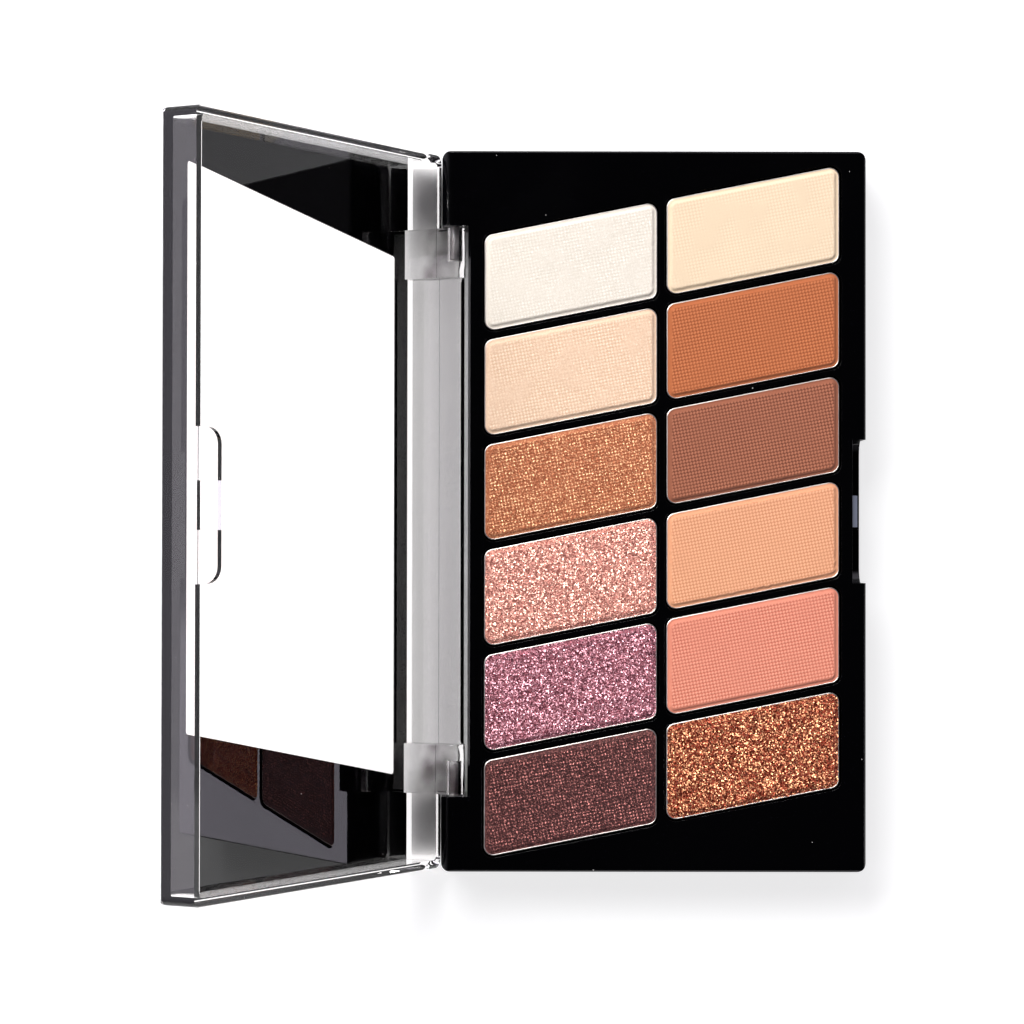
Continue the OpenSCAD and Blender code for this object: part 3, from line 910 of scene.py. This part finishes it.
@dataclass
class Cakes:
    """Twelve pressed cakes: a smooth sloping border and a raised middle with a cloth pattern."""

    PITCH = 0.59 * MM
    PRESSED = "pressed_share"

    sheet: float = 0.3 * MM
    border: float = 0.9 * MM
    shelf: float = 0.28
    crown: float = 0.38 * MM
    under_rim: float = 0.02 * MM
    samples: int = 4
    samples_plain: int = 3
    lap: float = 0.1 * MM
    fine_scale: float = 2800.0
    crumb_scale: float = 1300.0
    patch_scale: float = 160.0
    crumb_gain: float = 6.0
    pressed_from: float = 0.75
    grain: float = 0.02 * MM
    grain_glitter: float = 0.09 * MM
    sharp_angle: float = 50.0

    def tree(self) -> Tree:
        """Builds the node tree that presses a cake's block.

        Returns:
            The tree, with the cake's sizes as named inputs.
        """
        w, g, out = new_group(
            "pressed_cake", GEOMETRY,
            {"Centre": VECTOR, "Turn": 0.2, "Width": 0.03, "Side": 0.017, "Corner": 1.4 * MM,
             "Border": self.border, "Shelf": self.shelf, "Ragged": 0.05 * MM, "Worn": 0.2,
             "Crown": self.crown, "Edge height": 0.01, "Depth": 0.004, "Pitch": self.PITCH,
             "Weave depth": 0.05 * MM, "Grain": 0.01 * MM, "Seed": 0.0, "Columns": 240,
             "Rows": 120, "Length along": 0.035, "Length across": 0.017, "Material": MATERIAL},
            {"Mesh": MESH},
        )
        grid = w.node("GeometryNodeMeshGrid", {
            "Size X": g["Length along"], "Size Y": g["Length across"],
            "Vertices X": g["Columns"], "Vertices Y": g["Rows"]}).outputs["Mesh"]
        block = w.node("GeometryNodeTransform", {
            "Geometry": grid, "Translation": g["Centre"],
            "Rotation": w.upward(g["Turn"])}).outputs[0]
        place = w.node("GeometryNodeInputPosition").outputs[0]
        broad, inside = self.inside(w, g, place)
        shifted = w.vector("ADD", place, w.upward(g["Seed"]))
        grit = w.noise(shifted, self.fine_scale, detail=2.0)
        foot = w.math("MULTIPLY", g["Border"], g["Shelf"])
        rise = w.math("MULTIPLY", w.smooth(inside, foot, g["Border"]), g["Crown"])
        knot = woven(w, w.turned(place, g["Turn"]), g["Pitch"])
        start = w.math("MULTIPLY", g["Border"], self.pressed_from)
        worn = w.math("MULTIPLY", w.smooth(broad, low=0.45, high=0.62), g["Worn"])
        pressed = w.math("MULTIPLY", w.smooth(inside, start, g["Border"]),
                         w.math("SUBTRACT", 1.0, worn))
        pattern = w.math("MULTIPLY", w.math("SUBTRACT", knot, 1.0),
                         w.math("MULTIPLY", pressed, g["Weave depth"]))
        rough = w.math("SUBTRACT", w.math("ADD", grit, broad), 1.0)
        height = w.math("ADD", w.math("ADD", rise, pattern),
                        w.math("MULTIPLY_ADD", rough, g["Grain"], g["Edge height"]))
        marked = w.node("GeometryNodeStoreNamedAttribute", {
            "Geometry": block, "Name": self.PRESSED, "Value": pressed},
            data_type="FLOAT", domain="POINT").outputs[0]
        top = w.node("GeometryNodeSetPosition", {
            "Geometry": marked, "Offset": w.upward(height)}).outputs[0]
        skirt = w.node("GeometryNodeExtrudeMesh", {
            "Mesh": top, "Offset": w.upward(w.math("MULTIPLY", g["Depth"], -1.0)),
            "Offset Scale": 1.0, "Individual": False}, mode="FACES").outputs["Mesh"]
        both = w.node("GeometryNodeJoinGeometry")
        for part in (top, w.node("GeometryNodeFlipFaces", {"Mesh": skirt}).outputs[0]):
            w.tree.links.new(part, both.inputs[0])
        w.deliver(out, w.node("GeometryNodeMergeByDistance", {
            "Geometry": both.outputs[0], "Distance": 0.001 * MM}).outputs[0], g["Material"])
        return w.tree

    def inside(self, w: Wiring, g: Sockets, place: Socket) -> tuple[Socket, Socket]:
        """Wires how far a place lies inside the cake's crumbled outline.

        Args:
            w: The tree's wiring.
            g: The tree's inputs.
            place: The place.

        Returns:
            The cake's broad noise, and the distance.
        """
        local = w.vector("SUBTRACT", place, g["Centre"])
        half_side = w.math("MULTIPLY", w.math("MULTIPLY", g["Side"], 0.5),
                           w.math("COSINE", g["Turn"]))
        edges = ((w.math("MULTIPLY", g["Width"], 0.5), w.part(local, 0)),
                 (half_side, w.part(w.turned(local, g["Turn"]), 1)))
        spans = [w.math("SUBTRACT", half, w.math("ABSOLUTE", along)) for half, along in edges]
        reach = [w.math("POWER", w.math("MAXIMUM", w.math("SUBTRACT", g["Corner"], span), 0.0), 2.0)
                 for span in spans]
        shifted = w.vector("ADD", place, w.upward(g["Seed"]))
        crumbs, broad = (w.noise(shifted, scale, detail=2.0)
                         for scale in (self.crumb_scale, self.patch_scale))
        clean = w.math("SUBTRACT", g["Corner"], w.math("SQRT", w.math("ADD", *reach)))
        swing = w.math("MULTIPLY", w.math("SUBTRACT", crumbs, 0.5),
                       w.math("MULTIPLY", g["Ragged"], self.crumb_gain))
        crumbled = w.math("MULTIPLY", w.smooth(broad, low=0.4, high=0.6), swing)
        return broad, w.math("ADD", clean, crumbled)

    def build(self) -> list[Piece]:
        """Presses a cake into each pan.

        Returns:
            The cakes.
        """
        tree = self.tree()
        made = []
        for index, (key, shape, centre) in enumerate(slots()):
            finish = POWDERS[key]
            low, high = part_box(f"powder_{key}")
            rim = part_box(f"pan_{key}")[1].z
            inset = self.sheet - self.lap
            width = shape.width - 2 * inset
            side = shape.side - 2 * inset * math.hypot(1, shape.slope)
            across = side * math.cos(shape.turn)
            along = width / math.cos(shape.turn) + across * math.tan(shape.turn)
            step = self.PITCH / (self.samples if finish.woven else self.samples_plain)
            values = {
                "Centre": (centre.x, centre.y, 0.0), "Turn": shape.turn, "Width": width,
                "Side": side, "Corner": shape.corner - inset, "Ragged": finish.ragged,
                "Worn": finish.worn, "Edge height": rim - self.under_rim,
                "Depth": 2 * (high.z - low.z),
                "Weave depth": finish.weave_depth if finish.woven else 0.0,
                "Grain": self.grain if finish.woven else self.grain_glitter,
                "Seed": 0.1 * index, "Length along": along + 2 * step,
                "Length across": across + 2 * step, "Columns": round(along / step) + 3,
                "Rows": round(across / step) + 3, "Material": finish.material(),
            }
            cake = make_object(f"cake_{key}", bpy.data.meshes.new(f"cake_{key}"), finish)
            run_tree(cake, tree, values)
            self.trim(cake, shape.outline(centre, -inset), low.z, high.z + self.crown)
            finish_shading(cake.data, self.sharp_angle)
            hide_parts(f"powder_{key}")
            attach(cake, "base")
            made.append(cake)
        return made

    def trim(self, cake: Piece, outline: list[Point], low: float, high: float) -> None:
        """Cuts a pressed block to the inside of its pan."""
        rings = [[Vector((x, y, z)) for x, y in outline] for z in (low, high)]
        cutter = make_object("cutter", ring_mesh("cutter", rings), None)
        cut = cake.modifiers.new("trim", "BOOLEAN")
        cut.operation = "INTERSECT"
        cut.solver = "MANIFOLD"
        cut.object = cutter
        settle(cake)
        bpy.data.objects.remove(cutter)


def run_tree(made: Piece, tree: Tree, values: dict) -> None:
    """Runs a node tree on an object and keeps the result as plain mesh.

    Args:
        made: The object.
        tree: The tree.
        values: Input name to value.
    """
    modifier = made.modifiers.new(tree.name, "NODES")
    modifier.node_group = tree
    for item in tree.interface.items_tree:
        if item.in_out == "INPUT" and item.name in values:
            modifier[item.identifier] = values[item.name]
    settle(made)


@dataclass
class Glitter:
    """Flakes lying at all angles on the glitter cakes."""

    SHADE = "flake_shade"

    cover: float = 1.1
    tilt: float = math.radians(36)
    sides: int = 5
    facing_up: float = 0.4
    reach_down: float = 0.5 * MM

    def tree(self) -> Tree:
        """Builds the node tree that scatters flakes over a cake's top.

        Returns:
            The tree.
        """
        w, g, out = new_group(
            "glitter", GEOMETRY,
            {"Mesh": MESH, "Density": 2.0e7, "Radius": 0.1 * MM, "Tilt": self.tilt,
             "Sides": self.sides, "Floor": 0.01, "Seed": 1, "Material": MATERIAL},
            {"Mesh": MESH},
        )
        up = w.part(w.node("GeometryNodeInputNormal").outputs[0], 2)
        high = w.part(w.node("GeometryNodeInputPosition").outputs[0], 2)
        facing = w.math("MULTIPLY", w.math("GREATER_THAN", up, self.facing_up),
                        w.math("GREATER_THAN", high, g["Floor"]))
        points = w.node("GeometryNodeDistributePointsOnFaces", {
            "Mesh": g["Mesh"], "Selection": facing, "Density": g["Density"],
            "Seed": g["Seed"]}).outputs["Points"]
        flake = w.node("GeometryNodeMeshCircle", {
            "Vertices": g["Sides"], "Radius": g["Radius"]}, fill_type="NGON").outputs[0]
        less = w.math("MULTIPLY", g["Tilt"], -1.0)
        spin = w.node("FunctionNodeRandomValue", data_type="FLOAT_VECTOR")
        for index, parts in enumerate(((less, less, 0.0), (g["Tilt"], g["Tilt"], math.tau))):
            limit = w.node("ShaderNodeCombineXYZ", dict(enumerate(parts)))
            w.feed(spin, index, limit.outputs[0])
        placed = w.node("GeometryNodeInstanceOnPoints", {
            "Points": points, "Instance": flake, "Rotation": spin.outputs[0],
            "Scale": w.random(low=0.55, high=1.25, seed=7)}).outputs[0]
        shaded = w.node("GeometryNodeStoreNamedAttribute", {
            "Geometry": placed, "Name": self.SHADE,
            "Value": w.random(low=0.0, high=1.0, seed=11)},
            data_type="FLOAT", domain="INSTANCE").outputs[0]
        w.deliver(out, shaded, g["Material"])
        return w.tree

    def build(self, cakes: list[Piece]) -> list[Piece]:
        """Scatters flakes on every glitter cake.

        Args:
            cakes: All the cakes, in the order of POWDERS.

        Returns:
            The flakes, one piece for each glitter cake.
        """
        tree = self.tree()
        made = []
        for index, (key, cake) in enumerate(zip(POWDERS, cakes)):
            powder = POWDERS[key]
            if powder.pressing is not Pressing.GLITTER:
                continue
            # The flakes are painted with the pit colour as shade and the glint colour as a
            # highlight.
            finish = Flake(f"{powder.name}_flakes", powder.pit_shade, powder.colour, powder.glint)
            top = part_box(f"powder_{key}")[1].z
            flakes = make_object(f"glitter_{key}", cake.data.copy(), finish)
            radius = powder.flake_radius
            density = self.cover / (math.pi * radius ** 2)
            run_tree(flakes, tree, {"Density": density, "Radius": radius, "Seed": index,
                                    "Floor": top - self.reach_down,
                                    "Material": finish.material()})
            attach(flakes, "base")
            made.append(flakes)
        return made


# ---- case


@dataclass
class Base:
    """The moulded base: its tray, bottom cover, glue and label."""

    rounding: float = 0.08 * MM
    recess: float = 2.4 * MM
    catch_half: float = 2.9 * MM
    faces_up: float = 0.3

    def build(self) -> list[Piece]:
        """Rounds the tray's edges and dresses what stays as packed.

        Returns:
            The tray and the bottom cover.
        """
        tray = softened("base_tray", "tray", self.rounding, CASE_BLACK)
        self.grain_and_sheen_catch(tray.data)
        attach(tray, "base")
        cover = softened("bottom_cover", "cover", self.rounding, COVER_BLACK)
        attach(cover, "base")
        dress("underside_label", LABEL)
        dress("pan_glue", GLUE)
        return [tray, cover]

    def grain_and_sheen_catch(self, mesh: bpy.types.Mesh) -> None:
        """Gives the catch's upper face the grained finish of its mould insert, painted light bluish
        grey as the sheen that its grain scatters.
        """
        mesh.materials.append(CATCH_GRAIN_SHEEN.material())
        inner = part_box("base_tray")[1].x - self.recess
        for face in mesh.polygons:
            corners = [mesh.vertices[index].co for index in face.vertices]
            on_catch = all(abs(corner.y) < self.catch_half for corner in corners)
            if on_catch and inner < face.center.x and face.normal.z > self.faces_up:
                face.material_index = 1


def dress(node: str, finish: Finish) -> None:
    """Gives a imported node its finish."""
    mesh = frame["nodes"][node].data
    mesh.materials.clear()
    mesh.materials.append(finish.material())


@dataclass
class Lid:
    """The clear lid with its printed ink, and the pins it turns on."""

    rounding: float = 0.1 * MM
    ink_sink: float = 0.03 * MM
    window_side: float = 6.5 * MM
    window_top: float = 8.2 * MM
    window_bottom: float = 17.1 * MM
    window_slant: float = math.radians(9.4)
    window_corner: float = 0.6 * MM
    ink_trim: float = 0.02 * MM
    ink_corner: float = 0.8 * MM
    corner_steps: int = 8
    axis: Vector = field(init=False)
    angle: float = field(init=False)

    def __post_init__(self) -> None:
        """Takes the hinge's axis and the closing angle from the frame."""
        joint = frame["joints"][0]
        self.axis = Vector(joint["pos_m"])
        self.angle = math.radians(joint["range_deg"][1])

    @property
    def opening(self) -> Matrix:
        """Turns a place in the closed lid to the open lid."""
        turn = Matrix.Rotation(-self.angle, 4, "Y")
        return Matrix.Translation(self.axis) @ turn @ Matrix.Translation(-self.axis)

    def closed_box(self, node: str) -> tuple[Vector, Vector]:
        """Lowest and highest corner of a node of the lid, as if closed."""
        back = self.opening.inverted()
        points = [back @ v.co for v in frame["nodes"][node].data.vertices]
        lows, highs = (Vector([pick(p[k] for p in points) for k in range(3)])
                       for pick in (min, max))
        return lows, highs

    def window(self) -> list[Point]:
        """The clear window's outline in the closed lid."""
        low, high = self.closed_box("clear_lid")
        x = high.x - self.window_side
        rise = math.tan(self.window_slant)
        top = high.y - self.window_top
        bottom = low.y + self.window_bottom
        corners = [(x, bottom + 2 * x * rise), (x, top), (-x, top - 2 * x * rise), (-x, bottom)]
        return fillet(corners, self.window_corner, self.corner_steps)

    def ink(self) -> Piece:
        """Prints the ink frame on the lid's outer face.

        Returns:
            The ink, which stands for the film.
        """
        low, high = self.closed_box("lid_film")
        trim = Vector((self.ink_trim,) * 3)
        outside = fillet(rectangle((low + trim)[:2], (high - trim)[:2]), self.ink_corner,
                         self.corner_steps)
        inner, outer = low.z - self.ink_sink, high.z - self.ink_trim
        rings = [[self.opening @ Vector((x, y, z)) for x, y in outline]
                 for outline, z in ((outside, inner), (outside, outer), (self.window(), outer),
                                    (self.window(), inner))]
        made = make_object("ink", ring_mesh("ink", rings, closed=True), INK)
        made.data.materials.append(INK_BOND.material())
        inward = self.opening.to_3x3() @ Vector((0, 0, -1))
        for face in made.data.polygons:
            face.material_index = int(face.normal.dot(inward) > 0.5)
        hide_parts("lid_film")
        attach(made, "lid")
        return made

    def build(self) -> list[Piece]:
        """Builds the lid.

        Returns:
            The clear moulding and the ink.
        """
        shell = softened("clear_lid", "lid_moulding", self.rounding, CLEAR)
        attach(shell, "lid")
        for node in ("hinge_pin_upper", "hinge_pin_lower"):
            dress(node, PIN_STEEL)
        return [shell, self.ink()]


# ---- studio


@dataclass
class Softbox:
    """One large soft light that faces the palette."""

    name: str
    place: Triple
    size: tuple[float, float]
    watts: float
    colour: Triple = (1.0, 1.0, 1.0)
    lights_dull: bool = True

    def build(self, aim: Vector) -> Piece:
        """Puts the light up.

        Args:
            aim: The point it faces.

        Returns:
            The light.
        """
        data = bpy.data.lights.new(self.name, "AREA")
        data.shape = "RECTANGLE"
        data.size, data.size_y = self.size
        data.energy = self.watts
        data.color = self.colour
        made = bpy.data.objects.new(self.name, data)
        made.location = self.place
        made.rotation_euler = (aim - Vector(self.place)).to_track_quat("-Z", "Y").to_euler()
        made.visible_diffuse = self.lights_dull
        bpy.context.scene.collection.objects.link(made)
        return made


@dataclass
class Studio:
    """A pale table that glows with painted light, a key light from the upper left, a side light and
    an overhead camera.
    """

    camera_place: Triple = (-27.0 * MM, -7.8 * MM, 565.8 * MM)
    camera_tilt: Triple = (0.784, -0.15, 0.094)
    lens: float = 108.0
    aim: Triple = (-0.02, 0.0, 0.01)
    table_half: float = 2.5
    table_colour: Colour = (175, 175, 176)
    table_roughness: float = 0.9
    table_gloss: float = 0.1
    # The table glows with painted light: evenly in plain view, brighter seen through the clear lid,
    # and in reflections dim, except in front of the palette.
    table_glow: float = 0.75
    table_glow_through: float = 1.0
    table_glow_mirrored: float = 0.1
    table_glow_front: float = 0.6
    front: tuple[float, float] = (-57 * MM, -65 * MM)
    # Painted contact shade: the glow fades where ambient occlusion within this reach finds the
    # palette close by.
    shade_reach: float = 8 * MM
    shade_limits: tuple[float, float] = (0.05, 0.45)
    bright_way: Triple = (-0.6, 0.8, 0.0)
    horizon: tuple[float, float] = (0.15, 1.1)
    overhead: float = 0.008
    sky_tint: tuple[float, float, float, float] = (0.98, 0.93, 1.06, 1.0)
    lights: list[Softbox] = field(default_factory=lambda: [
        Softbox("key", (-0.55, 0.8, 1.0), (0.9, 0.7), 24.5),
        Softbox("side", (1.05, -0.5, 0.56), (1.0, 0.32), 10.0, (0.97, 0.92, 1.06), False),
    ])

    def table(self) -> Piece:
        """Lays the pale table, which glows with painted light, with painted contact shade near the
        palette.
        """
        half = self.table_half
        mesh = bpy.data.meshes.new("table")
        mesh.from_pydata([(-half, -half, 0), (half, -half, 0), (half, half, 0), (-half, half, 0)],
                         [], [(0, 1, 2, 3)])
        material = bpy.data.materials.new("table_white")
        material.use_nodes = True
        bsdf = material.node_tree.nodes["Principled BSDF"]
        w = Wiring(material.node_tree)
        w.feed(bsdf, "Base Color", linear(self.table_colour))
        w.feed(bsdf, "Roughness", self.table_roughness)
        w.feed(bsdf, "Specular IOR Level", self.table_gloss)
        w.feed(bsdf, "Emission Color", (1.0, 1.0, 1.0, 1.0))
        path = w.node("ShaderNodeLightPath").outputs
        # Painted reflection: the glow is set apart for rays that reach the table through the clear
        # lid and for reflected rays.
        direct = w.between(path["Is Transmission Ray"], self.table_glow, self.table_glow_through)
        along = w.part(w.node("ShaderNodeTexCoord").outputs["Object"], 1)
        mirrored = w.between(w.smooth(along, *self.front), self.table_glow_mirrored,
                             self.table_glow_front)
        glow = w.between(path["Is Reflection Ray"], direct, mirrored)
        # Painted contact shade: ambient occlusion dims the glow near and under the palette.
        sky = w.node("ShaderNodeAmbientOcclusion", {"Distance": self.shade_reach}).outputs["AO"]
        shade = w.smooth(sky, *self.shade_limits)
        w.feed(bsdf, "Emission Strength", w.math("MULTIPLY", glow, shade))
        made = make_object("table", mesh, None)
        mesh.materials.append(material)
        return made

    def surroundings(self) -> None:
        """Wraps the studio in light that is dark overhead and bright near the horizon."""
        world = bpy.data.worlds.new("studio")
        world.use_nodes = True
        bpy.context.scene.world = world
        w = Wiring(world.node_tree)
        way = w.node("ShaderNodeTexCoord").outputs["Generated"]
        towards = w.vector("DOT_PRODUCT", way, self.bright_way)
        level = w.between(w.smooth(towards, low=-0.8, high=0.8), *self.horizon)
        up = w.smooth(w.part(way, 2), low=0.5, high=0.92)
        background = world.node_tree.nodes["Background"]
        w.feed(background, "Color", self.sky_tint)
        w.feed(background, "Strength", w.between(up, level, self.overhead))

    def camera(self) -> Piece:
        """Sets up the camera."""
        data = bpy.data.cameras.new("camera")
        data.lens = self.lens
        data.clip_start = 0.01
        made = bpy.data.objects.new("camera", data)
        made.location = self.camera_place
        made.rotation_euler = tuple(math.radians(a) for a in self.camera_tilt)
        bpy.context.scene.collection.objects.link(made)
        bpy.context.scene.camera = made
        return made

    def build(self) -> None:
        """Builds the whole studio."""
        self.table()
        self.surroundings()
        for light in self.lights:
            light.build(Vector(self.aim))
        self.camera()
        bpy.context.scene.view_settings.view_transform = "Standard"


# ---- the palette


def report(made: list[Piece]) -> None:
    """Logs each piece with its size in faces."""
    for piece in made:
        LOG.info("%s: %d faces", piece.name, len(piece.data.polygons))


def main() -> None:
    """Builds the studio and the palette, piece by piece."""
    Studio().build()
    report(Base().build())
    report(Pans().build())
    cakes = Cakes().build()
    report(cakes)
    report(Glitter().build(cakes))
    report(Lid().build())


if __name__ == "__main__":
    logging.basicConfig(level=logging.INFO, format="%(name)s: %(message)s")
    main()
